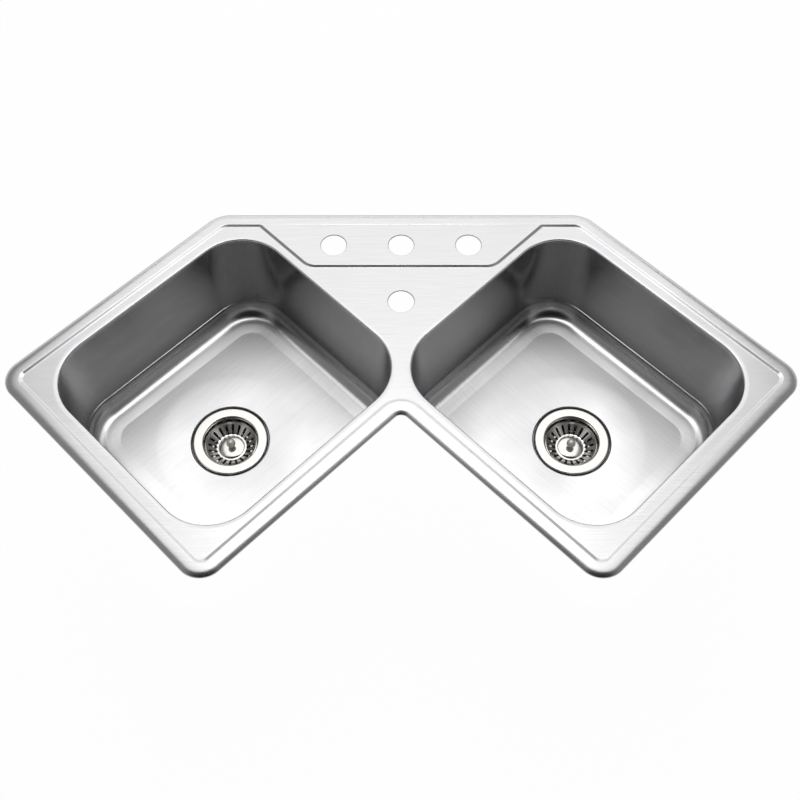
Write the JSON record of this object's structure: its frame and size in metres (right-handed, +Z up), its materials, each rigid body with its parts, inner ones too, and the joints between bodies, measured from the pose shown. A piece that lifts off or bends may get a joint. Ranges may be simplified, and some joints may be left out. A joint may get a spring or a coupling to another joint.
{
  "type": "corner kitchen sink",
  "caption": "Drop-in corner kitchen sink: a pressed steel deck with a bowl in each leg, raised tap ledge, lift-out basket strainers and clamping rails.",
  "frame": {"origin": "on the worktop plane under the middle of the rim seal, at the middle of the straight back edge", "axes": "+Z up, +X to the user's right along the straight back edge, -Y towards the user, who stands in the notch between the legs"},
  "size_m": [1.1166, 0.6045, 0.3492],
  "materials": {
    "brushed_steel": "brushed satin",
    "polished_steel": "polished",
    "chrome_tube": "plated",
    "zinc_plate": "zinc plated",
    "brass": "cast and turned",
    "seal_rubber": "matt",
    "pad_rubber": "matt, stuck on",
    "seal_foam": "closed-cell foam",
    "fibre": "pressed fibre",
    "white_plastic": "moulded"
  },
  "bodies": {
    "sink": {"deck": "brushed_steel", "rim_seal": "seal_foam", "left_bowl": "brushed_steel", "left_floor_pad": "pad_rubber", "left_end_pad": "pad_rubber", "left_front_pad": "pad_rubber", "left_flange_gasket": "seal_rubber", "left_strainer_body": "polished_steel", "left_drain_washer": "seal_rubber", "left_friction_ring": "fibre", "left_locknut": "brass", "left_tail_washer": "white_plastic", "left_tailpiece": "chrome_tube", "left_coupling_nut": "brass", "right_bowl": "brushed_steel", "right_floor_pad": "pad_rubber", "right_end_pad": "pad_rubber", "right_front_pad": "pad_rubber", "right_flange_gasket": "seal_rubber", "right_strainer_body": "polished_steel", "right_drain_washer": "seal_rubber", "right_friction_ring": "fibre", "right_locknut": "brass", "right_tail_washer": "white_plastic", "right_tailpiece": "chrome_tube", "right_coupling_nut": "brass", "rail_back": "zinc_plate", "rail_left_back": "zinc_plate", "rail_left_end": "zinc_plate", "rail_left_front": "zinc_plate", "rail_right_front": "zinc_plate", "rail_right_end": "zinc_plate", "rail_right_back": "zinc_plate"},
    "left_basket_unit": {"left_basket": "polished_steel", "left_basket_knob": "polished_steel", "left_basket_stopper": "seal_rubber", "left_basket_nut": "brass"},
    "right_basket_unit": {"right_basket": "polished_steel", "right_basket_knob": "polished_steel", "right_basket_stopper": "seal_rubber", "right_basket_nut": "brass"},
    "clip_back_unit": {"clip_back": "zinc_plate"},
    "screw_back_unit": {"screw_back": "zinc_plate"},
    "clip_left_back_unit": {"clip_left_back": "zinc_plate"},
    "screw_left_back_unit": {"screw_left_back": "zinc_plate"},
    "clip_left_end_unit": {"clip_left_end": "zinc_plate"},
    "screw_left_end_unit": {"screw_left_end": "zinc_plate"},
    "clip_left_front_unit": {"clip_left_front": "zinc_plate"},
    "screw_left_front_unit": {"screw_left_front": "zinc_plate"},
    "clip_right_front_unit": {"clip_right_front": "zinc_plate"},
    "screw_right_front_unit": {"screw_right_front": "zinc_plate"},
    "clip_right_end_unit": {"clip_right_end": "zinc_plate"},
    "screw_right_end_unit": {"screw_right_end": "zinc_plate"},
    "clip_right_back_unit": {"clip_right_back": "zinc_plate"},
    "screw_right_back_unit": {"screw_right_back": "zinc_plate"}
  },
  "joints": [
    {"name": "left_basket_lift", "type": "slide", "parent": "sink", "child": "left_basket_unit", "axis": [0, 0, 1], "range_m": [0, 0.25]},
    {"name": "right_basket_lift", "type": "slide", "parent": "sink", "child": "right_basket_unit", "axis": [0, 0, 1], "range_m": [0, 0.25]},
    {"name": "clip_back_slide", "type": "slide", "parent": "sink", "child": "clip_back_unit", "axis": [1, 0, 0], "range_m": [-0.258, 0.157]},
    {"name": "screw_back_travel", "type": "slide", "parent": "clip_back_unit", "child": "screw_back_unit", "axis": [0, 0, 1], "range_m": [-0.012, 0.016]},
    {"name": "clip_left_back_slide", "type": "slide", "parent": "sink", "child": "clip_left_back_unit", "axis": [-0.7071, -0.7071, 0], "range_m": [-0.135, 0.135]},
    {"name": "screw_left_back_travel", "type": "slide", "parent": "clip_left_back_unit", "child": "screw_left_back_unit", "axis": [0, 0, 1], "range_m": [-0.012, 0.016]},
    {"name": "clip_left_end_slide", "type": "slide", "parent": "sink", "child": "clip_left_end_unit", "axis": [0.7071, -0.7071, 0], "range_m": [-0.149, 0.149]},
    {"name": "screw_left_end_travel", "type": "slide", "parent": "clip_left_end_unit", "child": "screw_left_end_unit", "axis": [0, 0, 1], "range_m": [-0.012, 0.016]},
    {"name": "clip_left_front_slide", "type": "slide", "parent": "sink", "child": "clip_left_front_unit", "axis": [0.7071, 0.7071, 0], "range_m": [-0.111, 0.111]},
    {"name": "screw_left_front_travel", "type": "slide", "parent": "clip_left_front_unit", "child": "screw_left_front_unit", "axis": [0, 0, 1], "range_m": [-0.012, 0.016]},
    {"name": "clip_right_front_slide", "type": "slide", "parent": "sink", "child": "clip_right_front_unit", "axis": [0.7071, -0.7071, 0], "range_m": [-0.111, 0.111]},
    {"name": "screw_right_front_travel", "type": "slide", "parent": "clip_right_front_unit", "child": "screw_right_front_unit", "axis": [0, 0, 1], "range_m": [-0.012, 0.016]},
    {"name": "clip_right_end_slide", "type": "slide", "parent": "sink", "child": "clip_right_end_unit", "axis": [0.7071, 0.7071, 0], "range_m": [-0.149, 0.149]},
    {"name": "screw_right_end_travel", "type": "slide", "parent": "clip_right_end_unit", "child": "screw_right_end_unit", "axis": [0, 0, 1], "range_m": [-0.012, 0.016]},
    {"name": "clip_right_back_slide", "type": "slide", "parent": "sink", "child": "clip_right_back_unit", "axis": [-0.7071, 0.7071, 0], "range_m": [-0.135, 0.135]},
    {"name": "screw_right_back_travel", "type": "slide", "parent": "clip_right_back_unit", "child": "screw_right_back_unit", "axis": [0, 0, 1], "range_m": [-0.012, 0.016]}
  ]
}
